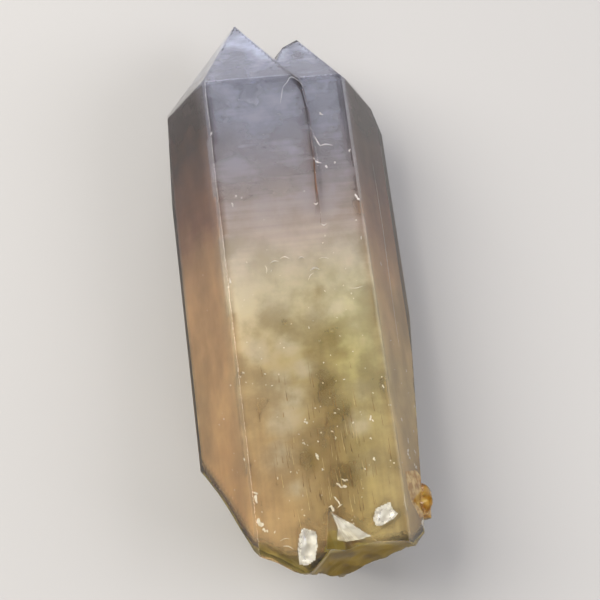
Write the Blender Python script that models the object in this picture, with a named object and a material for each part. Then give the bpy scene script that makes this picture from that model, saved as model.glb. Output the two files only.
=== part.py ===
"""A quartz crystal point: two individuals grown side by side, with a broken base, lying on its back face.

Metres, +Z up. The crystal's long axis lies along Y with the tips towards +Y. The wide front prism face
is up and the back prism face rests on Z = 0. The origin is under the middle of the crystal's outer box.
"""

import math

import bmesh
import bpy
from mathutils import Matrix, Vector, noise

MM = 0.001

# Quartz always has these angles: the prism faces turn by 60 degrees, and each tip face leans over its
# prism face so that their outward normals are 38.2 degrees apart.
PRISM_TURN = math.radians(60)
TIP_LEAN = math.radians(38.2)

# Driving sizes in millimetres, in the crystal's own axes: X across the front face, Y to the tips,
# Z out of the front face from the back face at 0.
DEPTH = 43.0
FRONT_LEFT, FRONT_RIGHT = -21.1, 18.4
LEFT_FACE_WIDTH, RIGHT_FACE_WIDTH = 25.3, 26.9
MAIN_TIP = Vector((-8.8, 90.6, 20.7))
SECOND_TIP = Vector((8.9, 80.8, 27.5))
SECOND_TIP_LEFT_GROWTH = 2.2
MAIN_LEFT_FACE_TURN = math.radians(4)
PRISM_ROUGH_LENGTH = 300.0
MAIN_ROUGH_LENGTH = 250.0
SECOND_ROUGH_LENGTH = 240.0

# The open seam between the two individuals on the front face: places from the notch down, in X and Y.
SEAM = ((4.2, 64.5), (6.9, 58.5), (7.5, 53.5), (7.8, 50.5), (7.6, 40.5), (7.8, 35.0), (7.4, 29.0), (6.8, 16.0))
SEAM_HALF_WIDTH = 0.45
SEAM_DEPTH = 0.9
SEAM_CLEARANCE = 2.0

# Faces worn or grown a little off the prism: a place on each, and its outward normal.
SIDE_FACETS = (
    (Vector((-32.4, 60.0, 24.0)), Vector((-1.0, 0.05, 0.0))),
    (Vector((23.6, 59.5, 33.5)), Vector((0.82, 0.42, 0.38))),
    (Vector((30.6, -19.0, 20.0)), Vector((1.0, -0.105, 0.05))),
    (Vector((-22.4, 63.6, 42.4)), Vector((-0.62, 0.48, 0.62))),
)

# The break at the base is made of hollow, shell-shaped scars, each a ball: centre and radius.
SCARS = (
    (Vector((6.0, -150.0, 63.9)), 79.8),
    (Vector((-188.5, -167.1, -16.8)), 200.0),
    (Vector((-90.8, -192.3, -16.0)), 150.0),
    (Vector((0.0, -140.0, -36.1)), 79.6),
    (Vector((50.0, -155.0, 10.0)), 90.0),
)
LOWEST_BREAK = -79.3
TOE_EDGE_X = -2.5
TOE_SLOPE = 0.85
BREAK_ROUGHNESS = ((9.0, 0.9), (3.6, 0.35))
BREAK_CELL = 1.25
BREAK_BOTTOM = -130.0

# Chips out of the front edge of the base, each the hull of a few corners, sunk into the front face.
CHIPS = (
    ((-1.8, -63.0, 43.2), (10.5, -72.3, 43.6), (-3.4, -73.6, 40.4), (8.0, -75.0, 40.6), (2.0, -74.0, 47.0)),
    ((9.4, -67.6, 43.5), (13.8, -62.6, 43.3), (16.9, -66.6, 43.5), (12.0, -69.9, 43.2), (12.9, -66.6, 42.0)),
    ((-9.4, -66.4, 43.3), (-5.0, -68.6, 43.4), (-6.6, -76.6, 43.4), (-11.4, -76.6, 43.4), (-8.2, -73.6, 41.2)),
)
CHIP_OUTSIDE = 4.0

# The rough knob on the right side near the base.
KNOB_MIDDLE = Vector((25.2, -62.0, 24.5))
KNOB_HALF_SIZES = Vector((4.6, 5.2, 7.5))
KNOB_ROUGHNESS = 1.4


def clear_scene():
    for obj in list(bpy.data.objects):
        bpy.data.objects.remove(obj, do_unlink=True)


def new_object(name, bm):
    bmesh.ops.recalc_face_normals(bm, faces=bm.faces)
    mesh = bpy.data.meshes.new(name)
    bm.to_mesh(mesh)
    bm.free()
    obj = bpy.data.objects.new(name, mesh)
    bpy.context.scene.collection.objects.link(obj)
    return obj


def combine(target, other, operation):
    """Applies a Boolean of another object to the target and removes the other object."""
    modifier = target.modifiers.new(operation.lower(), "BOOLEAN")
    modifier.operation = operation
    modifier.solver = "EXACT"
    modifier.object = other
    evaluated = target.evaluated_get(bpy.context.evaluated_depsgraph_get())
    mesh = bpy.data.meshes.new_from_object(evaluated)
    target.modifiers.clear()
    target.data = mesh
    bpy.data.objects.remove(other, do_unlink=True)


def prism_normal(turn):
    """Outward normal of the prism face that is this many 60 degree turns from the front one."""
    angle = turn * PRISM_TURN
    return Vector((math.sin(angle), 0, math.cos(angle)))


def tip_normal(turn):
    """Outward normal of the tip face over the prism face with that turn."""
    return prism_normal(turn) * math.cos(TIP_LEAN) + Vector((0, math.sin(TIP_LEAN), 0))


def cut(bm, point, normal):
    """Cuts off what is outside a plane and closes the cut with one flat face."""
    everything = bm.verts[:] + bm.edges[:] + bm.faces[:]
    found = bmesh.ops.bisect_plane(
        bm, geom=everything, dist=1e-4, plane_co=point, plane_no=normal, clear_outer=True
    )
    rim = [e for e in found["geom_cut"] if isinstance(e, bmesh.types.BMEdge)]
    if rim:
        bmesh.ops.contextual_create(bm, geom=rim)


def rough_block(size):
    bm = bmesh.new()
    bmesh.ops.create_cube(bm, size=size)
    return bm


def prism():
    """The six prism faces that the two individuals share."""
    slope = math.sin(PRISM_TURN)
    corner_left = Vector((FRONT_LEFT, 0, DEPTH))
    corner_right = Vector((FRONT_RIGHT, 0, DEPTH))
    edge_left = corner_left + Vector((-0.5, 0, -slope)) * LEFT_FACE_WIDTH
    edge_right = corner_right + Vector((0.5, 0, -slope)) * RIGHT_FACE_WIDTH
    bm = rough_block(PRISM_ROUGH_LENGTH)
    points = (corner_left, corner_right, edge_right, Vector(), edge_left, corner_left)
    for turn, point in enumerate(points):
        cut(bm, point, prism_normal(turn))
    for point, normal in SIDE_FACETS:
        cut(bm, point, normal.normalized())
    return new_object("prism", bm)


def tip_pyramid(name, tip, rough_length, left_growth, left_turn):
    """The six tip faces of one individual. Its left face can lie further out, or turn on its front edge."""
    bm = rough_block(rough_length)
    for turn in range(5):
        cut(bm, tip, tip_normal(turn))
    left = tip_normal(5)
    front_edge = tip_normal(0).cross(left)
    left.rotate(Matrix.Rotation(left_turn, 3, front_edge))
    cut(bm, tip + left * left_growth, left)
    return new_object(name, bm)


def seam_cutter():
    """A thin wedge along the seam, deepest in its upper half and running out at both ends."""
    bm = bmesh.new()
    last = len(SEAM) - 1
    rings = []
    for i, (x, y) in enumerate(SEAM):
        share = math.sin(math.pi * (i + 0.35) / (last + 0.7)) ** 0.7
        half = SEAM_HALF_WIDTH * (0.4 + 0.6 * share)
        top = DEPTH + SEAM_CLEARANCE
        spread = half * (SEAM_CLEARANCE + SEAM_DEPTH) / SEAM_DEPTH
        corners = ((x - spread, y, top), (x + spread, y, top), (x, y, DEPTH - SEAM_DEPTH * share))
        rings.append([bm.verts.new(c) for c in corners])
    for a, b in zip(rings, rings[1:]):
        for i in range(3):
            j = (i + 1) % 3
            bm.faces.new((a[i], a[j], b[j], b[i]))
    bm.faces.new(rings[0])
    bm.faces.new(rings[-1])
    return new_object("seam_cutter", bm)


def break_height(x, z):
    """Where the break lies along Y. The crystal is above it."""
    heights = [LOWEST_BREAK]
    for i, (middle, radius) in enumerate(SCARS):
        reach = radius**2 - (x - middle.x) ** 2 - (z - middle.z) ** 2
        if reach > 0:
            height = middle.y + math.sqrt(reach)
            if i == 0:
                height += TOE_SLOPE * min(0.0, x - TOE_EDGE_X)
            heights.append(height)
    height = max(heights)
    for i, (scale, size) in enumerate(BREAK_ROUGHNESS):
        height += size * noise.noise(Vector((x / scale, z / scale, 7.3 * i)))
    return height


def break_cutter():
    """A block whose top is the surface of the break."""
    low, high = Vector((-40.0, 0, -4.0)), Vector((40.0, 0, DEPTH + 4.0))
    count_x = round((high.x - low.x) / BREAK_CELL)
    count_z = round((high.z - low.z) / BREAK_CELL)
    bm = bmesh.new()
    bmesh.ops.create_grid(bm, x_segments=count_x, y_segments=count_z, size=0.5)
    for v in bm.verts:
        x = low.x + (v.co.x + 0.5) * (high.x - low.x)
        z = low.z + (v.co.y + 0.5) * (high.z - low.z)
        v.co = Vector((x, break_height(x, z), z))
    rim = [e for e in bm.edges if e.is_boundary]
    extruded = bmesh.ops.extrude_edge_only(bm, edges=rim)["geom"]
    lower = [g for g in extruded if isinstance(g, bmesh.types.BMVert)]
    for v in lower:
        v.co.y = BREAK_BOTTOM
    bmesh.ops.contextual_create(bm, geom=[e for e in bm.edges if e.is_boundary])
    return new_object("break_cutter", bm)


def chip_cutter(corners):
    """A block whose lower side is the hollow that a chip leaves."""
    bm = bmesh.new()
    for x, y, z in corners:
        bm.verts.new((x, y, z))
        bm.verts.new((x, y, z + CHIP_OUTSIDE))
    hull = bmesh.ops.convex_hull(bm, input=bm.verts)
    inner = {g for g in hull["geom_interior"] + hull["geom_unused"] if isinstance(g, bmesh.types.BMVert)}
    bmesh.ops.delete(bm, geom=list(inner), context="VERTS")
    return new_object("chip_cutter", bm)


def ball(name, middle, half_sizes, detail, roughness=0.0):
    bm = bmesh.new()
    bmesh.ops.create_icosphere(bm, subdivisions=detail, radius=1.0)
    for v in bm.verts:
        swell = 1.0 + roughness * noise.noise(v.co * 1.7) / min(half_sizes)
        v.co = middle + Vector(v.co[i] * half_sizes[i] * swell for i in range(3))
    return new_object(name, bm)


def crystal():
    obj = tip_pyramid("crystal_point", MAIN_TIP, MAIN_ROUGH_LENGTH, 0.0, MAIN_LEFT_FACE_TURN)
    second = tip_pyramid("second_tip", SECOND_TIP, SECOND_ROUGH_LENGTH, SECOND_TIP_LEFT_GROWTH, 0.0)
    combine(obj, second, "UNION")
    combine(obj, prism(), "INTERSECT")
    combine(obj, seam_cutter(), "DIFFERENCE")
    combine(obj, ball("knob", KNOB_MIDDLE, KNOB_HALF_SIZES, 3, KNOB_ROUGHNESS), "UNION")
    combine(obj, break_cutter(), "DIFFERENCE")
    for corners in CHIPS:
        combine(obj, chip_cutter(corners), "DIFFERENCE")
    return obj


def settle(obj):
    """Puts the middle of the outer box over the origin, in metres, with the back face on Z = 0."""
    corners = [v.co for v in obj.data.vertices]
    middle_x = (min(c.x for c in corners) + max(c.x for c in corners)) / 2
    middle_y = (min(c.y for c in corners) + max(c.y for c in corners)) / 2
    obj.data.transform(Matrix.Scale(MM, 4) @ Matrix.Translation((-middle_x, -middle_y, 0)))


def quartz():
    """Smoky yellow-brown quartz, clear and glassy."""
    material = bpy.data.materials.new("smoky_citrine_quartz")
    material.use_nodes = True
    shader = material.node_tree.nodes["Principled BSDF"]
    shader.inputs["Base Color"].default_value = (0.36, 0.30, 0.19, 1.0)
    shader.inputs["Roughness"].default_value = 0.08
    shader.inputs["Metallic"].default_value = 0.0
    shader.inputs["IOR"].default_value = 1.544
    return material


def main():
    clear_scene()
    obj = crystal()
    settle(obj)
    obj.data.materials.clear()
    obj.data.materials.append(quartz())
    obj.data.validate()


main()
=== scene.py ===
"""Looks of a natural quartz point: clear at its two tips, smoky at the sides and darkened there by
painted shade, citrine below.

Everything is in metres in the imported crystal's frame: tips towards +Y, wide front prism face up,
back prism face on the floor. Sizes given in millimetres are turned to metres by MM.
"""

import math
import random

import bpy
from mathutils import Matrix, Vector, noise
from mathutils.bvhtree import BVHTree


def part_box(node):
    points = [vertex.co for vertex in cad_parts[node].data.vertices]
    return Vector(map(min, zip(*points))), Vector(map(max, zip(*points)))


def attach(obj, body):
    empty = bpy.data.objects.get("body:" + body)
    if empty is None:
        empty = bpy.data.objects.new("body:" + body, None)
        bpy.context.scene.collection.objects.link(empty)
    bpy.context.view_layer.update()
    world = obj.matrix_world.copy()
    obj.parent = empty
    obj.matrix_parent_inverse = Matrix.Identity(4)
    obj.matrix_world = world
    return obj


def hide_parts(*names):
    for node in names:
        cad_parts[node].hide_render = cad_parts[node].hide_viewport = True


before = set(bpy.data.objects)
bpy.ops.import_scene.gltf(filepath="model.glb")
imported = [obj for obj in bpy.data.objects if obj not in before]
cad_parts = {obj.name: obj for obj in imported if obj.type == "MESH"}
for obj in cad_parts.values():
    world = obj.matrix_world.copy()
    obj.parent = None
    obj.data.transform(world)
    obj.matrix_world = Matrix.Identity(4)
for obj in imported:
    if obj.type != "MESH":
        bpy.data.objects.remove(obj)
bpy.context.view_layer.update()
LOW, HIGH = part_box("crystal_point")

MM = 0.001
PRISM_TURN = math.radians(60)
TIP_LEAN = math.radians(38.2)
FRONT_EDGE_LEFT, FRONT_EDGE_RIGHT = -20.15 * MM, 19.35 * MM
MIDDLE = Vector(((FRONT_EDGE_LEFT + FRONT_EDGE_RIGHT) / 2, 0, HIGH.z / 2))
# From the middle line to each prism face in millimetres, turning from the front to the right.
FACE_DISTANCES = (21.5, 27.9, 27.9, 21.5, 27.9, 27.9)
MAIN_TIP = Vector((-7.85, 85.06, 20.7)) * MM
SECOND_TIP = Vector((9.85, 75.26, 27.5)) * MM
KNOB = Vector((26.2, -67.5, 24.5)) * MM
# The broken end lies below this place, and its faces turn at least this much along the crystal.
BREAK_TOP, LEAST_BREAK_SLOPE = -52 * MM, 0.25
# Places on the front face, in millimetres, where the two crystals meet.
SEAM = (
    (1.3, 61.9), (4.6, 58.8), (7.9, 52.8), (8.4, 48.3), (8.7, 45.1), (8.6, 35.2), (8.7, 29.6),
    (8.3, 23.6), (8.1, 17.5), (7.6, 10.7),
)

bl_info = {
    "name": "Quartz Crystal Point",
    "version": (1, 0, 0),
    "blender": (4, 5, 0),
    "location": "View3D > Sidebar > Crystal",
    "description": "Dresses a packed quartz crystal with its surface, inclusions and stage",
    "category": "Object",
}


def linear(code, alpha=1.0):
    """An sRGB hex colour as the linear values that shaders read."""
    values = []
    for i in (1, 3, 5):
        v = int(code[i : i + 2], 16) / 255
        values.append(v / 12.92 if v <= 0.04045 else ((v + 0.055) / 1.055) ** 2.4)
    return (*values, alpha)


# ---------------------------------------------------------------- settings


class CrystalSurfaceSettings(bpy.types.PropertyGroup):
    edge_wear: bpy.props.FloatProperty(
        name="Edge wear",
        description="Width of the worn strip along each long edge",
        default=0.13 * MM,
        min=0.0,
        max=1.0 * MM,
        unit="LENGTH",
        precision=5,
    )
    absorption: bpy.props.FloatProperty(
        name="Absorption",
        description="How strongly the stone takes up light, per metre",
        default=4.0,
        min=0.0,
        max=100.0,
    )
    body_colour: bpy.props.FloatVectorProperty(
        name="Body colour",
        description="Colour that light takes on inside the stone",
        default=linear("#EFE4D0")[:3],
        subtype="COLOR",
        size=3,
        min=0.0,
        max=1.0,
    )


class CrystalInclusionSettings(bpy.types.PropertyGroup):
    needle_count: bpy.props.IntProperty(
        name="Needles",
        description="How many fine growth tubes run along the lower third",
        default=190,
        min=0,
        max=400,
    )
    flake_count: bpy.props.IntProperty(
        name="Flakes",
        description="How many small healed cracks glint inside",
        default=330,
        min=0,
        max=400,
    )


class CrystalStageSettings(bpy.types.PropertyGroup):
    camera_distance: bpy.props.FloatProperty(
        name="Camera distance",
        description="From the camera to the middle of the crystal",
        default=401 * MM,
        min=0.1,
        max=5.0,
        unit="LENGTH",
    )
    floor_colour: bpy.props.FloatVectorProperty(
        name="Floor colour",
        description="Plain pale floor",
        default=linear("#A4A29F")[:3],
        subtype="COLOR",
        size=3,
        min=0.0,
        max=1.0,
    )


# ---------------------------------------------------------------- small tools


def add_node(tree, kind, inputs=None, **settings):
    """Adds a shader node with its settings; an input given as a node or a socket is linked."""
    node = tree.nodes.new("ShaderNode" + kind)
    for name, value in settings.items():
        setattr(node, name, value)
    for key, value in (inputs or {}).items():
        if isinstance(value, bpy.types.Node):
            value = next(socket for socket in value.outputs if socket.enabled)
        if isinstance(value, bpy.types.NodeSocket):
            tree.links.new(value, node.inputs[key])
        else:
            node.inputs[key].default_value = value
    return node


def span(value, before, after=(0.0, 1.0)):
    """The inputs that carry a value from one range to another."""
    names = ("Value", "From Min", "From Max", "To Min", "To Max")
    return dict(zip(names, (value, *before, *after)))


def set_ramp(node, *stops):
    """Gives a colour ramp its stops: pairs of place and colour, or place and grey value."""
    ramp = node.color_ramp
    while len(ramp.elements) < len(stops):
        ramp.elements.new(0.5)
    for element, (place, colour) in zip(ramp.elements, stops):
        element.position = place
        element.color = linear(colour) if isinstance(colour, str) else (colour,) * 3 + (1,)
    return node


def new_material(name):
    material = bpy.data.materials.new(name)
    material.use_nodes = True
    tree = material.node_tree
    tree.nodes.clear()
    return material, tree, add_node(tree, "OutputMaterial")


def active():
    return bpy.context.view_layer.objects.active


def switch(mode):
    bpy.ops.object.mode_set(mode=mode)


def select_only(*objects):
    if bpy.context.mode != "OBJECT":
        switch("OBJECT")
    bpy.ops.object.select_all(action="DESELECT")
    for obj in objects:
        obj.select_set(True)
    if objects:
        bpy.context.view_layer.objects.active = objects[-1]


def apply_modifier(obj, name, kind, **settings):
    modifier = obj.modifiers.new(name, kind)
    for key, value in settings.items():
        setattr(modifier, key, value)
    select_only(obj)
    bpy.ops.object.modifier_apply(modifier=modifier.name)


def settle(obj):
    """Puts a piece's place into its mesh."""
    select_only(obj)
    bpy.ops.object.transform_apply(location=True, rotation=True, scale=True)


def join(objects):
    select_only(*objects)
    bpy.ops.object.join()
    settle(active())
    return active()


def finish_piece(obj, name, material):
    obj.name = name
    obj.data.name = name
    obj.data.materials.clear()
    obj.data.materials.append(material)
    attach(obj, "root")
    return obj


def pick(mesh, wanted):
    """Selects the given vertices of a mesh and nothing else."""
    mesh.polygons.foreach_set("select", [False] * len(mesh.polygons))
    mesh.edges.foreach_set("select", [False] * len(mesh.edges))
    mesh.vertices.foreach_set("select", wanted)


def prism_normal(turn):
    angle = turn * PRISM_TURN
    return Vector((math.sin(angle), 0, math.cos(angle)))


def tip_normal(turn):
    return prism_normal(turn) * math.cos(TIP_LEAN) + Vector((0, math.sin(TIP_LEAN), 0))


def smooth_step(value, low, high):
    t = min(1.0, max(0.0, (value - low) / (high - low)))
    return t * t * (3 - 2 * t)


def solid_tree(broken=False):
    """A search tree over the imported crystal's skin, or over its broken end only."""
    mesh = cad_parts["crystal_point"].data
    places = [v.co.copy() for v in mesh.vertices]
    faces = [
        tuple(p.vertices)
        for p in mesh.polygons
        if not broken or (p.center.y < BREAK_TOP and abs(p.normal.y) > LEAST_BREAK_SLOPE)
    ]
    return BVHTree.FromPolygons(places, faces)


def depth_inside(tree, place):
    """How deep a point lies under the crystal's skin; below zero outside."""
    distance = tree.find_nearest(place)[3]
    upwards, start, inside = Vector((0.003, 0.002, 1)), place, False
    while (hit := tree.ray_cast(start, upwards)[0]) is not None:
        start, inside = hit + upwards * 0.0005 * MM, not inside
    return distance if inside else -distance


def sheet(centre, normal, width, length, cell):
    """A grid square to a normal, its length run along the crystal as far as the normal lets it."""
    side = Vector((0, 1, 0)).cross(normal).normalized()
    along = normal.cross(side)
    select_only()
    columns, rows = (max(2, round(size / cell)) for size in (width, length))
    bpy.ops.mesh.primitive_grid_add(x_subdivisions=columns, y_subdivisions=rows, size=1.0)
    obj = active()
    basis = Matrix((side * width, along * length, normal)).transposed()
    obj.matrix_world = Matrix.Translation(centre) @ basis.to_4x4()
    settle(obj)
    return obj


def drop_vertices(obj, unwanted):
    select_only(obj)
    switch("EDIT")
    bpy.ops.mesh.select_mode(type="VERT")
    switch("OBJECT")
    pick(obj.data, unwanted)
    switch("EDIT")
    bpy.ops.mesh.delete(type="VERT")
    switch("OBJECT")


def trim(obj, keep):
    """Deletes the vertices that a test doesn't keep."""
    drop_vertices(obj, [not keep(v.co) for v in obj.data.vertices])


def give(obj, name, value):
    """Stores a value at each vertex, worked out from the vertex's place."""
    mark = obj.data.attributes.new(name, "FLOAT", "POINT")
    mark.data.foreach_set("value", [value(v.co) for v in obj.data.vertices])


def thread(points, width):
    """A fine line through the given places, thinning to nothing at both ends."""
    select_only()
    bpy.ops.curve.primitive_bezier_curve_add()
    obj = active()
    obj.data.bevel_depth = width / 2
    obj.data.bevel_resolution = 1
    obj.data.resolution_u = 4
    spline = obj.data.splines[0]
    spline.bezier_points.add(len(points) - 2)
    for i, (place, point) in enumerate(zip(points, spline.bezier_points)):
        point.co = place
        point.handle_left_type = point.handle_right_type = "AUTO"
        point.radius = 0.25 if i in (0, len(points) - 1) else 1.0
    obj.data.use_fill_caps = True
    bpy.ops.object.convert(target="MESH")
    return active()


def flake(place, normal, width, length, turn, thickness=0.12 * MM):
    """A flat lens with a few irregular sides, like a small healed crack."""
    select_only()
    bpy.ops.mesh.primitive_ico_sphere_add(subdivisions=1, radius=0.5)
    obj = active()
    for v in obj.data.vertices:
        v.co *= 1 + 0.8 * noise.noise(v.co * 4 + place * 900)
    basis = normal.to_track_quat("Z", "Y").to_matrix() @ Matrix.Rotation(turn, 3, "Z")
    size = Matrix.Diagonal((width, length, thickness))
    obj.matrix_world = Matrix.Translation(place) @ (basis @ size).to_4x4()
    return obj


# ---------------------------------------------------------------- materials


def quartz_material(settings):
    """Natural quartz: glass-clear with flat growth faces, finely ruled by growth lines.

    The eye gets mirror-like faces that wobble a little, smoky brown sides darkened by painted
    shade, a clear top and a faint straw tint below, a golden stain on the knob and a frosted look
    where the base broke.
    """
    material, tree, output = new_material("smoky_citrine_quartz")
    place = add_node(tree, "TexCoord").outputs["Object"]
    along = add_node(tree, "SeparateXYZ", {0: place})
    height = add_node(tree, "MapRange", span(along.outputs["Y"], (LOW.y, HIGH.y)))
    zones = set_ramp(
        add_node(tree, "ValToRGB", {"Fac": height}),
        (0.05, "#F6EFD6"),
        (0.35, "#FAF4E4"),
        (0.60, "#F8F3F0"),
        (1.00, "#F8F8FD"),
    )
    # Smoky brown under the side faces: partly the stone's colour, partly painted shade that darkens
    # the sides, strongest about three quarters of the way up.
    side = add_node(tree, "Math", {0: along.outputs["X"], 1: MIDDLE.x}, operation="SUBTRACT")
    side_size = add_node(tree, "Math", {0: side}, operation="ABSOLUTE")
    most_smoke_and_shade = set_ramp(
        add_node(tree, "ValToRGB", {"Fac": height}),
        (0.1, 0.25), (0.5, 0.3), (0.75, 0.75), (0.9, 0.3),
    )
    smoke_and_shade = add_node(
        tree,
        "MapRange",
        span(side_size, (19.6 * MM, 24.0 * MM), (0.0, most_smoke_and_shade)),
        interpolation_type="SMOOTHSTEP",
    )
    smoky_and_shaded = add_node(
        tree,
        "Mix",
        {"Factor": smoke_and_shade, "A": zones, "B": linear("#9A7A60")},
        data_type="RGBA",
        blend_type="MULTIPLY",
    )
    broken = add_node(tree, "Attribute", attribute_name="broken")
    under = add_node(tree, "Attribute", attribute_name="underside")
    broken_tone = add_node(
        tree,
        "Mix",
        {"Factor": under.outputs["Fac"], "A": smoky_and_shaded, "B": linear("#C2AE62")},
        data_type="RGBA",
        blend_type="MULTIPLY",
    )
    stain = add_node(tree, "Attribute", attribute_name="stain")
    rust = add_node(tree, "TexNoise", {"Vector": place, "Scale": 420.0, "Detail": 4.0})
    rust_tone = set_ramp(
        add_node(tree, "ValToRGB", {"Fac": rust.outputs["Fac"]}),
        (0.35, "#B68A46"),
        (0.50, "#DBBC74"),
        (0.65, "#F3E4BC"),
    )
    colour = add_node(
        tree,
        "Mix",
        {"Factor": stain.outputs["Fac"], "A": broken_tone, "B": rust_tone},
        data_type="RGBA",
    )
    glint = add_node(
        tree,
        "Mix",
        {"Factor": under.outputs["Fac"], "A": linear("#FFFFFF"), "B": linear("#C8A24C")},
        data_type="RGBA",
    )
    ruled = add_node(tree, "Mapping", {"Vector": place, "Scale": (45.0, 900.0, 45.0)})
    growth = add_node(tree, "TexNoise", {"Vector": ruled, "Scale": 1.0, "Detail": 4.0})
    pits = add_node(tree, "TexNoise", {"Vector": place, "Scale": 900.0, "Detail": 5.0})
    polish = add_node(tree, "MapRange", span(growth.outputs["Fac"], (0.35, 0.75), (0.02, 0.10)))
    roughness = add_node(
        tree, "Mix", {"Factor": broken.outputs["Fac"], "A": polish, "B": 0.34}, data_type="FLOAT"
    )
    ruling = add_node(
        tree, "Bump", {"Height": growth.outputs["Fac"], "Strength": 0.16, "Distance": 0.05 * MM}
    )
    pit_strength = add_node(tree, "Math", {0: broken.outputs["Fac"], 1: 0.5}, operation="MULTIPLY")
    relief = add_node(
        tree,
        "Bump",
        {
            "Strength": pit_strength,
            "Height": pits.outputs["Fac"],
            "Distance": 0.15 * MM,
            "Normal": ruling,
        },
    )
    shader = add_node(
        tree,
        "BsdfPrincipled",
        {
            "Base Color": colour,
            "Roughness": roughness,
            "Normal": relief,
            "Specular Tint": glint,
            "Transmission Weight": 1.0,
            "IOR": 1.544,
        },
    )
    body = add_node(
        tree,
        "VolumeAbsorption",
        {"Color": (*settings.body_colour, 1.0), "Density": settings.absorption},
    )
    tree.links.new(shader.outputs[0], output.inputs["Surface"])
    tree.links.new(body.outputs[0], output.inputs["Volume"])
    return material


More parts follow.
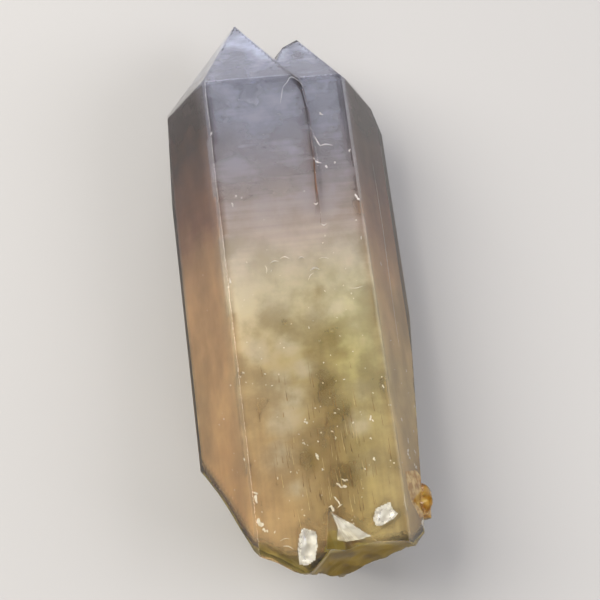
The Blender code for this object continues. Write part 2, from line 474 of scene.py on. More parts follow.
def veil_material():
    """Milky quartz: bubbles and healed cracks too small to see, scattering light like thin cloud.

    Grey-lavender and ruled across near the tips, cloudy straw in the middle, streaked lengthwise
    and olive-brown below, smoky brown and darkened by painted shade under the side faces.
    """
    material, tree, output = new_material("milky_veil")
    place = add_node(tree, "TexCoord").outputs["Object"]
    along = add_node(tree, "SeparateXYZ", {0: place})
    clouds = add_node(
        tree, "TexNoise", {"Vector": place, "Scale": 95.0, "Detail": 5.0, "Roughness": 0.55}
    )
    drift = add_node(tree, "MapRange", span(clouds.outputs["Fac"], (0.3, 0.7), (-7 * MM, 7 * MM)))
    wandering = add_node(tree, "Math", {0: along.outputs["Y"], 1: drift}, operation="ADD")
    height = add_node(tree, "MapRange", span(wandering, (LOW.y, HIGH.y)))
    front = set_ramp(
        add_node(tree, "ValToRGB", {"Fac": height}),
        (0.04, "#F0DCB6"),
        (0.22, "#D2C29D"),
        (0.35, "#DCD4B0"),
        (0.46, "#EEEAD0"),
        (0.56, "#DFD3CA"),
        (0.65, "#C0BBBF"),
        (0.76, "#B7BAC8"),
        (0.87, "#C2C6D4"),
        (0.93, "#DCE2F2"),
    )
    # Under the side faces: smoky brown and painted shade that darkens the sides, darkest high up
    # and pale again at the tips.
    sides = set_ramp(
        add_node(tree, "ValToRGB", {"Fac": height}),
        (0.05, "#CCB080"),
        (0.30, "#DAC498"),
        (0.48, "#CCA878"),
        (0.62, "#93694A"),
        (0.76, "#422A22"),
        (0.86, "#3C302E"),
        (0.95, "#C9CCDC"),
    )
    smoke_and_shade = add_node(tree, "Attribute", attribute_name="smoke_and_shade")
    zone = add_node(
        tree, "Mix", {"Factor": smoke_and_shade.outputs["Fac"], "A": front, "B": sides}, data_type="RGBA"
    )
    across = add_node(tree, "Mapping", {"Vector": place, "Scale": (26.0, 640.0, 26.0)})
    rows = add_node(tree, "TexNoise", {"Vector": across, "Scale": 1.0, "Detail": 3.0})
    lengthwise = add_node(tree, "Mapping", {"Vector": place, "Scale": (430.0, 48.0, 430.0)})
    streaks = add_node(tree, "TexNoise", {"Vector": lengthwise, "Scale": 1.0, "Detail": 5.0})
    row_share = set_ramp(
        add_node(tree, "ValToRGB", {"Fac": height}),
        (0.46, 0.0), (0.58, 0.26), (0.80, 0.16), (0.92, 0.08),
    )
    streak_share = set_ramp(
        add_node(tree, "ValToRGB", {"Fac": height}), (0.0, 0.34), (0.26, 0.26), (0.40, 0.0)
    )
    ruled = add_node(
        tree,
        "Mix",
        {"Factor": row_share, "A": clouds.outputs["Fac"], "B": rows.outputs["Fac"]},
        data_type="FLOAT",
    )
    pattern = add_node(
        tree,
        "Mix",
        {"Factor": streak_share, "A": ruled, "B": streaks.outputs["Fac"]},
        data_type="FLOAT",
    )
    tone = add_node(tree, "MapRange", span(pattern, (0.34, 0.66), (0.84, 1.06)))
    breadth = add_node(
        tree, "MapRange", span(along.outputs["X"], (FRONT_EDGE_LEFT, FRONT_EDGE_RIGHT))
    )
    tints = set_ramp(
        add_node(tree, "ValToRGB", {"Fac": breadth}),
        (0.05, "#FFF0E6"),
        (0.40, "#EDE4D2"),
        (0.58, "#DDD0AE"),
        (0.78, "#FFFFE2"),
        (1.00, "#F6F6E8"),
    )
    tint_share = set_ramp(
        add_node(tree, "ValToRGB", {"Fac": height}), (0.0, 1.0), (0.36, 0.9), (0.52, 0.0)
    )
    tinted = add_node(
        tree,
        "Mix",
        {"Factor": tint_share, "A": zone, "B": tints},
        data_type="RGBA",
        blend_type="MULTIPLY",
    )
    toned = add_node(tree, "VectorMath", {0: tinted, "Scale": tone}, operation="SCALE")
    grain = add_node(tree, "Mapping", {"Vector": place, "Scale": (105.0, 46.0, 105.0)})
    bands = add_node(tree, "TexNoise", {"Vector": grain, "Scale": 1.0, "Detail": 5.0})
    band_tone = add_node(tree, "MapRange", span(bands.outputs["Fac"], (0.34, 0.66), (0.74, 1.2)))
    banded = add_node(tree, "VectorMath", {0: toned, "Scale": band_tone}, operation="SCALE")
    sided = add_node(
        tree, "Mix", {"Factor": smoke_and_shade.outputs["Fac"], "A": toned, "B": banded}, data_type="RGBA"
    )
    olive = add_node(tree, "Attribute", attribute_name="olive")
    darker = add_node(
        tree,
        "Mix",
        {"Factor": olive.outputs["Fac"], "A": sided, "B": linear("#8F7A3C")},
        data_type="RGBA",
    )
    wisp = add_node(tree, "Attribute", attribute_name="wisp")
    torn = add_node(
        tree,
        "MapRange",
        span(clouds.outputs["Fac"], (0.40, 0.60), (0.25, 1.0)),
        interpolation_type="SMOOTHSTEP",
    )
    puff = add_node(tree, "Math", {0: wisp.outputs["Fac"], 1: torn}, operation="MULTIPLY")
    colour = add_node(
        tree, "Mix", {"Factor": puff, "A": darker, "B": linear("#E9E2D0")}, data_type="RGBA"
    )
    thickness = set_ramp(
        add_node(tree, "ValToRGB", {"Fac": height}),
        (0.00, 0.62), (0.30, 0.75), (0.52, 0.68), (0.70, 0.50), (0.86, 0.50), (0.95, 0.80),
    )
    density = add_node(
        tree, "MapRange", span(pattern, (0.36, 0.64), (0.6, 1.0)), interpolation_type="SMOOTHSTEP"
    )
    fade = add_node(tree, "Attribute", attribute_name="fade")
    amount = add_node(tree, "Math", {0: density, 1: thickness}, operation="MULTIPLY")
    fuller = add_node(tree, "Math", {0: amount, 1: puff}, operation="MAXIMUM")
    deep = add_node(tree, "Attribute", attribute_name="deep")
    backed = add_node(tree, "Math", {0: fuller, 1: deep.outputs["Fac"]}, operation="MAXIMUM")
    # The sheets under the side faces are kept nearly opaque, so that their smoky brown and painted
    # shade cover the sides.
    smoke_and_shade_cover = add_node(tree, "Math", {0: smoke_and_shade.outputs["Fac"], 1: 0.9}, operation="MULTIPLY")
    covered = add_node(tree, "Math", {0: backed, 1: smoke_and_shade_cover}, operation="MAXIMUM")
    alpha = add_node(tree, "Math", {0: covered, 1: fade.outputs["Fac"]}, operation="MULTIPLY")
    relief = add_node(
        tree, "Bump", {"Height": clouds.outputs["Fac"], "Strength": 0.3, "Distance": 0.6 * MM}
    )
    shader = add_node(
        tree,
        "BsdfPrincipled",
        {
            "Base Color": colour,
            "Alpha": alpha,
            "Normal": relief,
            "Roughness": 0.9,
            "Specular IOR Level": 0.0,
        },
    )
    tree.links.new(shader.outputs[0], output.inputs["Surface"])
    return material


def speckled_material(name, tones, size, roughness, relief_depth):
    """A dull mineral filling whose tone changes over a given grain size."""
    material, tree, output = new_material(name)
    place = add_node(tree, "TexCoord").outputs["Object"]
    grain = add_node(tree, "TexNoise", {"Vector": place, "Scale": 1 / size, "Detail": 3.0})
    colour = set_ramp(
        add_node(tree, "ValToRGB", {"Fac": grain.outputs["Fac"]}),
        (0.38, tones[0]),
        (0.62, tones[1]),
    )
    relief = add_node(
        tree, "Bump", {"Height": grain.outputs["Fac"], "Strength": 0.5, "Distance": relief_depth}
    )
    shader = add_node(
        tree, "BsdfPrincipled", {"Base Color": colour, "Normal": relief, "Roughness": roughness}
    )
    tree.links.new(shader.outputs[0], output.inputs["Surface"])
    return material


def floor_material(settings):
    """Matt painted board: pale, even, without gloss, with the faintest unevenness of a roller."""
    material, tree, output = new_material("matt_painted_board")
    place = add_node(tree, "TexCoord").outputs["Object"]
    grain = add_node(tree, "TexNoise", {"Vector": place, "Scale": 450.0, "Detail": 3.0})
    relief = add_node(
        tree, "Bump", {"Height": grain.outputs["Fac"], "Strength": 0.04, "Distance": 0.1 * MM}
    )
    shader = add_node(
        tree,
        "BsdfPrincipled",
        {"Base Color": (*settings.floor_colour, 1.0), "Roughness": 0.75, "Normal": relief},
    )
    tree.links.new(shader.outputs[0], output.inputs["Surface"])
    return material


# ---------------------------------------------------------------- pieces


class CRYSTAL_OT_body(bpy.types.Operator):
    """Makes the visible crystal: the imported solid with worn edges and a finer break"""

    bl_idname = "crystal.body"
    bl_label = "Crystal"

    finest_relief = 0.28 * MM
    # Size and share of each grade of dent on the broken faces.
    dents = ((3.4 * MM, 1.0), (1.5 * MM, 0.5))
    shortest_worn_edge = 4 * MM
    least_worn_turn = math.radians(14)
    smooth_below = math.radians(22)
    # The underside's tint and film begin between these heights, under the front rim.
    rim = (39.5 * MM, 42.2 * MM)
    stain_reach = (5.5 * MM, 9.5 * MM)
    on_face = 0.3 * MM

    def execute(self, context):
        settings = context.scene.crystal_surface
        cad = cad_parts["crystal_point"]
        body = cad.copy()
        body.data = cad.data.copy()
        body.parent = None
        context.scene.collection.objects.link(body)
        select_only(body)
        switch("EDIT")
        bpy.ops.mesh.select_all(action="SELECT")
        bpy.ops.mesh.remove_doubles(threshold=0.002 * MM)
        bpy.ops.mesh.dissolve_limited(angle_limit=math.radians(0.5))
        switch("OBJECT")
        self.roughen_break(body)
        self.wear_edges(body, settings.edge_wear)
        broken = [float(self.is_broken(p.center)) for p in body.data.polygons]
        below_rim = [1 - smooth_step(p.center.z, *self.rim) for p in body.data.polygons]
        under = [share * mark for share, mark in zip(below_rim, broken)]
        for name, values in (("broken", broken), ("underside", under)):
            body.data.attributes.new(name, "FLOAT", "FACE").data.foreach_set("value", values)
        give(body, "stain", lambda p: 1 - smooth_step((p - KNOB).length, *self.stain_reach))
        select_only(body)
        bpy.ops.object.shade_smooth_by_angle(angle=self.smooth_below)
        apply_modifier(body, "flat_faces", "WEIGHTED_NORMAL", weight=100, keep_sharp=True)
        finish_piece(body, "crystal", quartz_material(settings))
        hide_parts("crystal_point")
        return {"FINISHED"}

    def roughen_break(self, body):
        """Cuts the broken faces finer and presses small shell-like dents into them."""
        mesh = body.data
        broken = [self.is_broken(p.center) for p in mesh.polygons]
        pick(mesh, [False] * len(mesh.vertices))
        mesh.polygons.foreach_set("select", broken)
        select_only(body)
        switch("EDIT")
        bpy.ops.mesh.select_mode(type="FACE")
        switch("OBJECT")
        # Again, because the change of select mode picks some neighbours too.
        mesh.polygons.foreach_set("select", broken)
        switch("EDIT")
        bpy.ops.mesh.quads_convert_to_tris()
        bpy.ops.mesh.subdivide(number_cuts=1)
        switch("OBJECT")
        normals = [v.normal.copy() for v in mesh.vertices]
        for v, normal in zip(mesh.vertices, normals):
            if self.is_broken(v.co):
                dent = sum(abs(noise.noise(v.co / size)) * share for size, share in self.dents)
                v.co -= normal * self.finest_relief * dent

    def wear_edges(self, body, width):
        """Bevels the long edges between growth faces."""
        mesh = body.data
        faces_of = {}
        for p in mesh.polygons:
            for key in p.edge_keys:
                faces_of.setdefault(key, []).append(p)
        weight = mesh.attributes.new("bevel_weight_edge", "FLOAT", "EDGE")
        for i, e in enumerate(mesh.edges):
            near = faces_of.get(e.key, [])
            ends = [mesh.vertices[k].co for k in e.vertices]
            if len(near) != 2 or (ends[0] - ends[1]).length <= self.shortest_worn_edge:
                continue
            if near[0].normal.angle(near[1].normal) > self.least_worn_turn:
                weight.data[i].value = 1.0
        apply_modifier(
            body,
            "worn_edges",
            "BEVEL",
            width=width,
            segments=2,
            limit_method="WEIGHT",
            use_clamp_overlap=False,
        )

    def is_broken(self, place):
        """Whether a point is on the broken end and on none of the prism faces."""
        from_axis = Vector((place.x - MIDDLE.x, 0, place.z - MIDDLE.z))
        return place.y < BREAK_TOP and not any(
            abs(from_axis.dot(prism_normal(turn)) - distance * MM) < self.on_face
            for turn, distance in enumerate(FACE_DISTANCES)
        )


class CRYSTAL_OT_break_film(bpy.types.Operator):
    """Makes the olive film of fine cracks just under the broken base"""

    bl_idname = "crystal.break_film"
    bl_label = "Break Film"

    depth = 0.7 * MM

    def execute(self, context):
        film = bpy.data.objects.new("break_film", bpy.data.objects["crystal"].data.copy())
        context.scene.collection.objects.link(film)
        near_break = [False] * len(film.data.vertices)
        for face, mark in zip(film.data.polygons, film.data.attributes["underside"].data):
            for i in face.vertices:
                near_break[i] |= mark.value > 0.5
        for name in ("broken", "underside", "stain"):
            film.data.attributes.remove(film.data.attributes[name])
        tree = solid_tree()
        normals = [v.normal.copy() for v in film.data.vertices]
        kept = []
        for v, normal, near in zip(film.data.vertices, normals, near_break):
            v.co -= normal * self.depth
            kept.append(near and depth_inside(tree, v.co) > 0.1 * MM)
        drop_vertices(film, [not k for k in kept])
        tones = ("#94862F", "#D2C67A")
        material = speckled_material("crazed_olive_film", tones, 5.0 * MM, 0.6, 0.3 * MM)
        finish_piece(film, "break_film", material)
        return {"FINISHED"}


class CRYSTAL_OT_veils(bpy.types.Operator):
    """Makes the milky veils, sheets of cloud that lie parallel to the growth faces"""

    bl_idname = "crystal.veils"
    bl_label = "Milky Veils"

    cell = 1.5 * MM
    tip_cell = 0.75 * MM
    tip_reach = 50 * MM
    half_length = 86 * MM
    rings = 7
    cuts = 15
    # Each shell's depth in millimetres under the front and back faces, then under the side faces.
    shell_depths = ((2.2, 0.8), (6.0, 3.0), (10.5, 6.0))
    floor_depth = 16.5
    tip_depths = (0.6, 2.4)
    # Places in millimetres on the front face, with the radius of each cloud or darker patch.
    wisps = (
        (-8.0, -11.4, 7.0), (11.5, -7.6, 6.5), (9.1, -13.6, 4.5), (13.5, 0.5, 6.0),
        (-6.0, -22.6, 4.5), (-1.9, -30.1, 4.5), (-10.1, -33.3, 6.5), (-14.6, -24.0, 5.5),
        (-6.6, -38.0, 6.0), (12.5, -19.1, 4.0), (3.0, -15.5, 4.5), (-9.5, -43.5, 7.0),
        (10.5, -47.0, 5.0), (-11.5, -53.5, 6.0), (-8.5, -62.0, 4.0), (12.0, -57.5, 4.5),
        (13.0, -37.5, 4.5),
    )
    patches = (
        (6.5, -22.6, 4.6), (8.6, -27.2, 3.4), (-5.8, -17.4, 3.2), (-0.4, -26.6, 3.2),
        (2.5, -35.8, 3.0), (5.2, -34.4, 2.6), (5.0, -8.5, 2.6), (6.4, -44.2, 4.5),
        (-3.0, -55.0, 4.5), (5.5, -60.0, 5.0),
    )

    def execute(self, context):
        self.tree = solid_tree()
        self.break_tree = solid_tree(broken=True)
        sheets = [self.shell(*depths) for depths in self.shell_depths]
        centre = MIDDLE + prism_normal(0) * (FACE_DISTANCES[0] - self.floor_depth) * MM
        backing = sheet(centre, prism_normal(0), 36 * MM, 172 * MM, self.cell)
        sheets.append(self.veil(backing, self.floor_depth))
        for tip in (MAIN_TIP, SECOND_TIP):
            for turn in (0, 1, 5, 2, 4):
                for depth in self.tip_depths:
                    facing = tip_normal(turn)
                    downhill = (facing * facing.y - Vector((0, 1, 0))).normalized()
                    centre = tip - facing * depth * MM + downhill * 0.48 * self.tip_reach
                    plane = sheet(centre, facing, 60 * MM, self.tip_reach, self.tip_cell)
                    sheets.append(self.veil(plane, depth, facing=facing))
        finish_piece(join(sheets), "milky_veils", veil_material())
        return {"FINISHED"}

    def shell(self, depth, side_depth):
        """A six-sided tube under all the prism faces, like an earlier size of the crystal."""
        depths = (depth, side_depth, side_depth) * 2
        distances = [distance - below for distance, below in zip(FACE_DISTANCES, depths)]
        corners = []
        for turn in range(6):
            a, b = prism_normal(turn), prism_normal(turn + 1)
            d, e = distances[turn], distances[(turn + 1) % 6]
            x, z = Matrix(((a.x, a.z), (b.x, b.z))).inverted() @ Vector((d, e))
            corners.append(MIDDLE + Vector((x, 0, z)) * MM)
        select_only()
        bpy.ops.mesh.primitive_cylinder_add(vertices=6, radius=1, depth=2, end_fill_type="NOTHING")
        obj = active()
        for v in obj.data.vertices:
            turn = round(math.atan2(v.co.x, v.co.y) / PRISM_TURN) % 6
            v.co = corners[turn] + Vector((0, math.copysign(self.half_length, v.co.z), 0))
        switch("EDIT")
        bpy.ops.mesh.select_mode(type="EDGE")
        bpy.ops.mesh.select_all(action="DESELECT")
        switch("OBJECT")
        for edge in obj.data.edges:
            a, b = (obj.data.vertices[i].co for i in edge.vertices)
            edge.select = abs(a.y - b.y) > self.half_length
        switch("EDIT")
        bpy.ops.mesh.subdivide(number_cuts=self.rings)
        bpy.ops.mesh.select_all(action="SELECT")
        bpy.ops.mesh.subdivide(number_cuts=self.cuts)
        bpy.ops.mesh.normals_make_consistent(inside=False)
        switch("OBJECT")
        return self.veil(obj, depth, side_depth=side_depth)

    def veil(self, obj, depth, facing=None, side_depth=None):
        """Ripples a sheet, trims it to the crystal and stores what its material needs to know."""
        own = (side_depth or depth) * MM
        for v in obj.data.vertices:
            outward = Vector((v.co.x - MIDDLE.x, 0, v.co.z - MIDDLE.z)).normalized()
            v.co += outward * noise.noise(v.co / (13 * MM) + Vector((0, 0, depth))) * 0.15 * own
        fades = [self.fade(v.co, own, facing) for v in obj.data.vertices]
        seen = [fade > 0 for fade in fades]
        for edge in obj.data.edges:
            i, k = edge.vertices
            seen[i], seen[k] = seen[i] or fades[k] > 0, seen[k] or fades[i] > 0
        drop_vertices(obj, [not s for s in seen])
        if not obj.data.vertices:
            raise RuntimeError("a veil lies wholly outside the crystal")
        trim(obj, lambda p: depth_inside(self.tree, p) > 0.1 * MM)
        give(obj, "fade", lambda p: self.fade(p, own, facing))
        # Share of smoky brown and painted shade under the side faces, stored at each vertex.
        give(obj, "smoke_and_shade", lambda p: self.smoke_and_shade(p, depth, side_depth, facing))
        strength = (0.65 if depth < 4 else 0.75) if side_depth and depth < 9 else 0.0
        give(obj, "wisp", lambda p: strength * self.blobs(p, self.wisps, depth))
        give(obj, "olive", lambda p: strength * self.blobs(p, self.patches, depth))
        backing = 0.9 if depth > 10 else 0.0
        give(obj, "deep", lambda p: backing)
        return obj

    @staticmethod
    def smoke_and_shade(place, depth, side_depth, facing):
        """How much smoky brown and painted shade a place gets: high under the side faces, elsewhere
        only far from the middle.
        """
        across = smooth_step(abs(place.x - MIDDLE.x), 18.8 * MM, 22.0 * MM)
        if facing is not None:
            return 0.5 * across
        if side_depth is None:
            return across
        from_middle = Vector((place.x - MIDDLE.x, 0, place.z - MIDDLE.z))
        depths = (depth, side_depth, side_depth) * 2
        room = [
            (distance - below) * MM - from_middle.dot(prism_normal(turn))
            for turn, (distance, below) in enumerate(zip(FACE_DISTANCES, depths))
        ]
        nearest = room.index(min(room))
        if nearest in (1, 5):
            return max(0.9 * across, 0.85)
        return 0.5 if nearest in (2, 4) else across

    def fade(self, place, own, facing):
        """Thins a sheet out where it nears another face than its own."""
        depth = depth_inside(self.tree, place)
        if facing is not None and self.tree.find_nearest(place)[1].dot(facing) < 0.9:
            return 0.0
        from_break = self.break_tree.find_nearest(place)[3]
        near_face, near_break = (0.30 * own, 0.75 * own), (1.2 * MM, 3.6 * MM)
        return smooth_step(depth, *near_face) * smooth_step(from_break, *near_break)

    @staticmethod
    def blobs(place, spots, depth):
        """How far inside the nearest of the spots a point lies, with a ragged edge."""
        if place.z < HIGH.z - (depth + 0.6) * MM:
            return 0.0
        ragged = 1 + 0.55 * noise.noise(place / (4.5 * MM)) + 0.25 * noise.noise(place / (1.9 * MM))
        far = [math.hypot(place.x - x * MM, place.y - y * MM) for x, y, _ in spots]
        return max(
            1 - smooth_step(away, 0.2 * r * MM, r * MM * ragged)
            for away, (_, _, r) in zip(far, spots)
        )


class CRYSTAL_OT_seam(bpy.types.Operator):
    """Makes the smoky brown curtain and the dark brown crack where the two crystals grew together,
    which paint shade into the seam's groove and along its left side
    """

    bl_idname = "crystal.seam"
    bl_label = "Seam"

    rows = 60
    columns = 6
    depth = 5.5 * MM
    lean = 3.2 * MM
    # Shares of the seam's length over which the curtain comes in and goes out.
    low_end, high_end = (0.0, 0.15), (0.8, 1.0)

    def execute(self, context):
        select_only()
        bpy.ops.mesh.primitive_grid_add(
            x_subdivisions=self.columns, y_subdivisions=self.rows, size=1.0
        )
        obj = active()
        tree = solid_tree()
        line = [Vector((x, y, 0)) * MM for x, y in SEAM]
        shares = []
        for v in obj.data.vertices:
            along, down = v.co.y + 0.5, v.co.x + 0.5
            i = min(int(along * (len(line) - 1)), len(line) - 2)
            place = line[i].lerp(line[i + 1], along * (len(line) - 1) - i)
            top = tree.ray_cast(Vector((place.x, place.y, 0.1)), Vector((0, 0, -1)))[0]
            sway = 1 + 0.6 * noise.noise(place / (6 * MM))
            height = top.z - 0.12 * MM - self.depth * down
            v.co = (place.x - self.lean * down * sway, place.y, height)
            ends = smooth_step(along, *self.low_end), smooth_step(along, *self.high_end)
            shares.append((1 - down) * ends[0] * (1 - ends[1]))
        obj.data.attributes.new("fade", "FLOAT", "POINT").data.foreach_set("value", shares)
        # The curtain takes the darkest side colours: smoky brown and painted shade along the left
        # of the seam.
        for name, value in (("smoke_and_shade", 1.0), ("deep", 0.85)):
            give(obj, name, lambda p: value)
        finish_piece(obj, "seam_film", bpy.data.materials["milky_veil"])
        crack = []
        for place in line:
            top = tree.ray_cast(Vector((place.x, place.y, 0.1)), Vector((0, 0, -1)))[0]
            crack.append(top - Vector((0, 0, 0.3 * MM)))
        # Dark brown line under the seam: painted shade of the groove where the two crystals meet,
        # with brown in the crack.
        tones = ("#2E211A", "#5E4534")
        material = speckled_material("brown_seam_and_groove_shade", tones, 1.6 * MM, 0.6, 0.1 * MM)
        finish_piece(thread(crack, 0.32 * MM), "seam_crack", material)
        return {"FINISHED"}


class CRYSTAL_OT_cracks(bpy.types.Operator):
    """Makes the small healed cracks and bruised spots that glint white"""

    bl_idname = "crystal.cracks"
    bl_label = "Healed Cracks"

    # Fine bright lines, in millimetres on the front face: width, then places.
    lines = (
        (0.20, (2.1, 53.0), (3.7, 54.6), (4.8, 55.9), (6.3, 55.1), (8.0, 53.1)),
        (0.12, (2.1, 53.0), (1.5, 50.6), (0.8, 48.1)),
        (0.45, (9.3, 37.0), (10.0, 34.9), (10.6, 33.8)),
        (0.42, (10.4, 33.8), (12.0, 34.2), (14.0, 33.7)),
        (0.50, (8.0, 30.5), (9.0, 29.2), (10.2, 28.6)),
        (0.50, (6.4, 16.9), (7.0, 16.4), (7.7, 16.9)),
        (0.40, (7.6, 10.6), (8.4, 10.0), (9.3, 10.4)),
        (0.28, (-8.0, 0.4), (-6.6, 1.0), (-5.4, 0.7)),
        (0.28, (-5.0, 1.5), (-3.6, 1.9), (-2.4, 1.2)),
        (0.30, (0.0, 1.0), (1.0, 1.4), (2.0, 0.8)),
        (0.25, (5.8, 0.4), (7.2, 0.6), (8.6, 0.1)),
        (0.62, (2.9, -2.8), (4.2, -2.2), (5.6, -2.7)),
        (0.22, (-9.4, 0.0), (-9.0, -1.2), (-9.3, -2.4)),
        (0.20, (2.0, -5.6), (2.8, -4.2), (3.9, -3.6)),
        (0.20, (13.0, -9.0), (15.0, -9.2), (17.0, -8.8)),
        (0.30, (20.0, -71.5), (19.7, -69.5), (19.9, -67.0)),
        (0.20, (-14.4, -75.6), (-12.9, -75.1), (-11.8, -75.4)),
        (0.34, (-13.8, -77.0), (-12.4, -77.2), (-11.2, -78.1)),
    )
    spot_depth = 0.35 * MM
    # Where flakes may lie, in millimetres: low and high end, and the thickest place along.
    flakes_along = (-78, 30, -56)
    flakes_across, flakes_high = (-27, 28), (20, 42.4)
    flakes_under = (0.5 * MM, 3.5 * MM)
    # A bright line on the right side face, in millimetres.
    ridge = ((27.1, 32.0, 29.6), (27.2, 13.0, 29.3), (26.9, -2.0, 30.0), (26.6, -24.0, 30.4))
    # Small white spots, in millimetres on the front face: place, width, length, turn in degrees.
    spots = (
        (-19.6, -3.4, 0.7, 1.7, 5), (-19.6, 40.7, 0.5, 0.9, 0), (-15.2, 21.1, 0.7, 0.7, 0),
        (-16.2, 18.7, 0.5, 1.1, 30), (-13.4, 20.4, 0.5, 0.5, 0), (8.4, 6.9, 0.5, 0.5, 0),
        (6.3, -9.2, 0.5, 0.5, 0), (-3.6, -44.7, 1.1, 1.5, 20), (-2.0, -54.6, 0.9, 2.0, 35),
        (-4.9, -50.6, 0.7, 1.0, 60), (3.8, -50.2, 0.5, 0.8, 0), (3.4, -63.2, 1.4, 3.0, 55),
        (4.6, -61.6, 0.8, 1.6, 70), (2.0, -67.4, 0.8, 3.2, 12), (0.2, -68.8, 1.0, 1.6, 40),
        (13.2, -57.0, 0.8, 1.0, 0), (13.9, -46.2, 0.9, 1.8, 15), (18.6, 31.6, 0.7, 0.9, 0),
        (18.9, 17.4, 0.9, 1.9, 20), (18.3, 5.2, 0.5, 1.0, 0), (-19.3, -63.4, 1.4, 3.4, 10),
        (-19.2, -70.4, 1.6, 2.4, 40), (-17.9, -72.4, 1.0, 1.8, 60), (18.4, -37.6, 0.6, 1.0, 0),
        (11.4, 27.4, 0.8, 0.8, 0), (14.0, 28.4, 0.6, 0.6, 0), (11.9, 43.6, 0.9, 1.3, 30),
    )
    # The same on the right side face: fall from the front edge, place along, width, length, turn.
    side_spots = (
        (10.0, -0.2, 0.8, 0.9, 0), (8.0, -46.0, 0.7, 1.0, 0), (10.5, -51.6, 1.0, 1.6, 10),
        (9.5, -55.5, 1.3, 3.4, 6), (14.6, -54.3, 1.0, 1.4, 40), (13.2, -58.6, 1.4, 2.0, 60),
        (16.0, -48.3, 0.6, 0.8, 0), (15.6, -61.9, 0.8, 1.2, 20), (17.0, -66.0, 1.0, 1.0, 0),
        (7.2, -67.8, 0.8, 1.4, 0), (19.5, -40.6, 0.5, 0.9, 0), (17.4, -30.6, 0.5, 0.8, 0),
    )

    def execute(self, context):
        self.tree = solid_tree()
        self.rng = random.Random(11)
        parts = []
        for width, *places in self.lines:
            points = [self.under((x * MM, y * MM), (0.2 + width / 2) * MM) for x, y in places]
            parts.append(thread(points, width * MM))
        for x, y, width, length, turn in self.spots:
            place = self.under((x * MM, y * MM), self.spot_depth)
            parts += self.crumbs(place, prism_normal(0), width, length, turn)
        right, down = prism_normal(1), prism_normal(1).cross(Vector((0, 1, 0)))
        for fall, y, width, length, turn in self.side_spots:
            edge = Vector((FRONT_EDGE_RIGHT, y * MM, HIGH.z))
            place = edge + down * math.copysign(fall, -down.z) * MM - right * 0.5 * MM
            if depth_inside(self.tree, place) > 0.2 * MM:
                parts += self.crumbs(place, right, width, length, turn)
        ridge = [Vector(p) * MM - right * 0.4 * MM for p in self.ridge]
        parts.append(thread(ridge, 0.3 * MM))
        parts += self.scattered(context.scene.crystal_inclusions.flake_count)
        tones = ("#E8E4DC", "#FFFFFF")
        material = speckled_material("healed_crack", tones, 0.8 * MM, 0.35, 0.05 * MM)
        finish_piece(join(parts), "healed_cracks", material)
        return {"FINISHED"}

    def under(self, place, depth):
        """The point at a depth straight below the crystal's top skin."""
        hit = self.tree.ray_cast(Vector((*place, 0.1)), Vector((0, 0, -1)))[0]
        return hit - Vector((0, 0, depth))

    def crumbs(self, place, normal, width, length, turn):
        """A bruised spot: a few overlapping splinters along one line; sizes in millimetres."""
        width, length, turn = width * MM, length * MM, math.radians(turn)
        along = normal.cross(Vector((0, 1, 0))).cross(normal).normalized()
        along.rotate(Matrix.Rotation(turn, 3, normal))
        parts = []
        for step in (-0.3, 0.0, 0.3):
            aside = normal.cross(along) * self.rng.gauss(0, 0.18) * width
            spot = place + along * step * length + aside
            slant = turn + self.rng.gauss(0, 0.5)
            wide, long = width * self.rng.uniform(0.4, 0.8), length * self.rng.uniform(0.35, 0.6)
            parts.append(flake(spot, normal, wide, long, slant, 0.25 * MM))
        return parts

    def scattered(self, count):
        """Fine glints, thickest in the lower third and under the side faces."""
        parts = []
        while len(parts) < count:
            y = self.rng.triangular(*self.flakes_along) * MM
            x = self.rng.uniform(*self.flakes_across) * MM
            z = self.rng.uniform(*self.flakes_high) * MM
            place = Vector((x, y, z))
            if not self.flakes_under[0] < depth_inside(self.tree, place) < self.flakes_under[1]:
                continue
            normal = Vector([self.rng.uniform(-0.5, 0.5) for _ in range(3)]) + Vector((0, 0, 1))
            size = self.rng.uniform(0.16, 0.42) * MM
            stretch = self.rng.uniform(1.0, 2.4)
            parts.append(flake(place, normal, size, size * stretch, self.rng.uniform(0, 3)))
        return parts


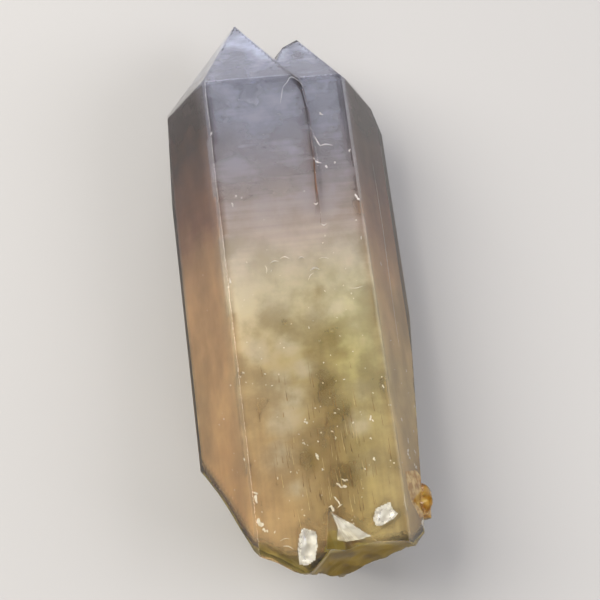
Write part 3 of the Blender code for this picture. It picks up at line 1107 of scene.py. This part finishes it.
class CRYSTAL_OT_chips(bpy.types.Operator):
    """Makes the white bruises under the shell-shaped chips at the base"""

    bl_idname = "crystal.chips"
    bl_label = "Chips"

    cell = 0.3 * MM
    outlines = (
        (
            (-8.0, -72.7), (-4.5, -74.2), (-4.8, -78.6), (-5.8, -81.6), (-8.0, -82.9),
            (-10.1, -82.4), (-10.4, -79.0), (-9.4, -74.7),
        ),
        (
            (-0.4, -69.4), (2.0, -71.3), (5.0, -73.2), (7.6, -75.6), (10.4, -77.4), (3.8, -77.9),
            (0.6, -77.2), (0.9, -73.5),
        ),
        (
            (11.6, -70.0), (14.4, -69.0), (15.8, -68.6), (16.3, -70.6), (17.7, -72.3),
            (16.2, -73.5), (12.8, -74.9), (11.2, -75.0), (10.4, -73.0),
        ),
        ((24.6, -73.8), (26.6, -72.2), (27.6, -73.6), (27.0, -75.6), (25.0, -75.6)),
    )
    stained = (
        (21.4, -60.6), (26.0, -59.4), (29.6, -62.6), (32.2, -66.5), (31.9, -71.0), (29.6, -74.6),
        (27.6, -73.6), (26.6, -72.2), (24.6, -73.4), (21.8, -68.0),
    )

    def execute(self, context):
        self.tree = solid_tree()
        parts = [self.bruise(outline) for outline in self.outlines]
        tones = ("#C4C2C4", "#FAFBFF")
        material = speckled_material("bruised_quartz", tones, 1.1 * MM, 0.45, 0.25 * MM)
        finish_piece(join(parts), "chip_bruises", material)
        knob = self.bruise(self.stained)
        tones = ("#BF943C", "#F0DC9E")
        gold = speckled_material("iron_stained_knob", tones, 2.0 * MM, 0.5, 0.3 * MM)
        finish_piece(knob, "knob_stain", gold)
        return {"FINISHED"}

    def bruise(self, outline):
        """A crumpled sheet just under the skin, cut to an outline given in millimetres."""
        outline = [Vector((x, y)) * MM for x, y in outline]
        low = Vector((min(p.x for p in outline), min(p.y for p in outline), 0))
        high = Vector((max(p.x for p in outline), max(p.y for p in outline), 0))
        size = high - low
        obj = sheet((low + high) / 2, Vector((0, 0, 1)), size.x, size.y, self.cell)
        trim(obj, lambda p: self.covers(outline, p))
        for v in obj.data.vertices:
            hit, normal = self.tree.ray_cast(Vector((v.co.x, v.co.y, 0.1)), Vector((0, 0, -1)))[:2]
            if hit is not None:
                v.co = hit - normal * (0.16 * MM + 0.4 * MM * abs(noise.noise(v.co / (1.1 * MM))))
        trim(obj, lambda p: depth_inside(self.tree, p) > 0.08 * MM)
        return obj

    @staticmethod
    def covers(outline, place):
        """Whether a point lies inside an outline, seen from above."""
        inside = False
        for a, b in zip(outline, outline[1:] + outline[:1]):
            if (a.y > place.y) != (b.y > place.y):
                if place.x < a.x + (b.x - a.x) * (place.y - a.y) / (b.y - a.y):
                    inside = not inside
        return inside


class CRYSTAL_OT_needles(bpy.types.Operator):
    """Makes the fine growth tubes that run lengthwise through the lower third"""

    bl_idname = "crystal.needles"
    bl_label = "Needles"

    # In millimetres: low end, high end and likeliest of the lengths and of the places along.
    lengths, along = (0.8, 7.0, 1.6), (-78, -26, -58)
    radii = (0.05, 0.13)
    top, spread_down = 42.3, 1.6
    least_depth = 0.6 * MM
    stained_share = 0.8
    # Middle and spread across the crystal of each bundle, in millimetres.
    bundles = ((1.0, 2.4), (6.5, 2.0), (3.5, 6.0), (-9.0, 4.0), (12.0, 4.0))

    def execute(self, context):
        tree = solid_tree()
        rng = random.Random(5)
        stained, pale = [], []
        while len(stained) + len(pale) < context.scene.crystal_inclusions.needle_count:
            length = rng.triangular(*self.lengths) * MM
            x, y = rng.gauss(*rng.choice(self.bundles)) * MM, rng.triangular(*self.along) * MM
            z = (self.top - abs(rng.gauss(0, self.spread_down))) * MM
            lean = Vector((rng.gauss(-0.03, 0.04), 1, rng.gauss(0, 0.04))).normalized()
            ends = [Vector((x, y, z)) + lean * length * share for share in (-0.5, 0.5)]
            if min(depth_inside(tree, end) for end in ends) < self.least_depth:
                continue
            radius = rng.uniform(*self.radii) * MM
            select_only()
            bpy.ops.mesh.primitive_cone_add(
                vertices=5,
                radius1=radius,
                radius2=radius * 0.3,
                depth=length,
                location=(x, y, z),
                rotation=lean.to_track_quat("Z", "Y").to_euler(),
            )
            group = stained if rng.random() < self.stained_share else pale
            group.append(active())
        grain, relief = 1.2 * MM, 0.02 * MM
        tones = ("#654B24", "#94743E")
        browns = speckled_material("iron_stained_tube", tones, grain, 0.5, relief)
        tones = ("#BFAD7A", "#DDD0A8")
        creams = speckled_material("hollow_growth_tube", tones, grain, 0.4, relief)
        finish_piece(join(stained), "stained_needles", browns)
        finish_piece(join(pale), "pale_needles", creams)
        return {"FINISHED"}


class CRYSTAL_OT_stage(bpy.types.Operator):
    """Makes the floor, the soft light and the camera"""

    bl_idname = "crystal.stage"
    bl_label = "Stage"

    view_down = math.radians(16.0)
    view_left = math.radians(5.8)
    view_roll = math.radians(7.5)
    lens = 83.2
    aim = Vector((0.95, -5.54, 23.9)) * MM

    def execute(self, context):
        settings = context.scene.crystal_stage
        self.floor(settings)
        self.lights()
        self.world(context.scene)
        self.camera(context.scene, settings)
        return {"FINISHED"}

    def floor(self, settings):
        select_only()
        bpy.ops.mesh.primitive_plane_add(size=4.0, location=(0, 0, -0.05 * MM))
        floor = active()
        floor.name = "floor"
        settle(floor)
        floor.data.materials.append(floor_material(settings))

    def area(self, name, place, size, power, colour):
        data = bpy.data.lights.new(name, "AREA")
        data.shape = "RECTANGLE"
        data.size, data.size_y = size
        data.energy = power
        data.color = linear(colour)[:3]
        light = bpy.data.objects.new(name, data)
        bpy.context.scene.collection.objects.link(light)
        light.location = place
        towards = Vector((0, 0, 0.02)) - Vector(place)
        light.rotation_euler = towards.to_track_quat("-Z", "Y").to_euler()

    def lights(self):
        self.area("key_softbox", (-0.75, 0.35, 0.95), (0.9, 0.9), 23.0, "#FFFBF4")
        self.area("fill_softbox", (0.9, -0.3, 0.8), (0.7, 0.7), 9.0, "#F6F6FF")
        self.area("tip_softbox", (0.0, 1.1, 0.4), (0.9, 0.5), 7.0, "#F4F2FF")
        self.area("base_softbox", (0.15, -1.0, 0.4), (0.8, 0.5), 3.0, "#FFFAF0")

    def world(self, scene):
        world = bpy.data.worlds.new("soft_studio")
        world.use_nodes = True
        background = world.node_tree.nodes["Background"]
        background.inputs["Color"].default_value = linear("#EDEFF4")
        background.inputs["Strength"].default_value = 0.55
        scene.world = world
        scene.view_settings.view_transform = "Standard"
        scene.cycles.max_bounces = 24
        scene.cycles.transmission_bounces = 24
        scene.cycles.diffuse_bounces = 8
        scene.cycles.transparent_max_bounces = 48

    def camera(self, scene, settings):
        data = bpy.data.cameras.new("camera")
        data.lens = self.lens
        data.clip_start = 0.01
        camera = bpy.data.objects.new("camera", data)
        scene.collection.objects.link(camera)
        down, left = self.view_down, self.view_left
        back = Vector(
            (-math.cos(down) * math.sin(left), -math.sin(down), math.cos(down) * math.cos(left))
        )
        up = (Vector((0, 1, 0)) - back * back.y).normalized()
        right = up.cross(back)
        turn = Matrix.Rotation(-self.view_roll, 3, back)
        right, up = turn @ right, turn @ up
        place = self.aim + back * settings.camera_distance
        basis = Matrix((right, up, back)).transposed()
        camera.matrix_world = Matrix.Translation(place) @ basis.to_4x4()
        scene.camera = camera


class CRYSTAL_PT_panel(bpy.types.Panel):
    """Lists the pieces in the order they are made"""

    bl_label = "Crystal"
    bl_idname = "CRYSTAL_PT_panel"
    bl_space_type = "VIEW_3D"
    bl_region_type = "UI"
    bl_category = "Crystal"

    def draw(self, context):
        column = self.layout.column()
        for operator in OPERATORS:
            column.operator(operator.bl_idname)
        for group in SETTINGS:
            settings = getattr(context.scene, group)
            for name in settings.bl_rna.properties.keys():
                if name not in ("rna_type", "name"):
                    column.prop(settings, name)


OPERATORS = (
    CRYSTAL_OT_body,
    CRYSTAL_OT_break_film,
    CRYSTAL_OT_veils,
    CRYSTAL_OT_seam,
    CRYSTAL_OT_cracks,
    CRYSTAL_OT_chips,
    CRYSTAL_OT_needles,
    CRYSTAL_OT_stage,
)
SETTINGS = {
    "crystal_surface": CrystalSurfaceSettings,
    "crystal_inclusions": CrystalInclusionSettings,
    "crystal_stage": CrystalStageSettings,
}


def register():
    for group in SETTINGS.values():
        bpy.utils.register_class(group)
    for name, group in SETTINGS.items():
        setattr(bpy.types.Scene, name, bpy.props.PointerProperty(type=group))
    for cls in (*OPERATORS, CRYSTAL_PT_panel):
        bpy.utils.register_class(cls)


def unregister():
    for cls in (CRYSTAL_PT_panel, *reversed(OPERATORS)):
        bpy.utils.unregister_class(cls)
    for name, group in SETTINGS.items():
        delattr(bpy.types.Scene, name)
        bpy.utils.unregister_class(group)


def main():
    register()
    bpy.ops.crystal.body()
    bpy.ops.crystal.break_film()
    bpy.ops.crystal.veils()
    bpy.ops.crystal.seam()
    bpy.ops.crystal.cracks()
    bpy.ops.crystal.chips()
    bpy.ops.crystal.needles()
    bpy.ops.crystal.stage()


if __name__ == "__main__":
    main()
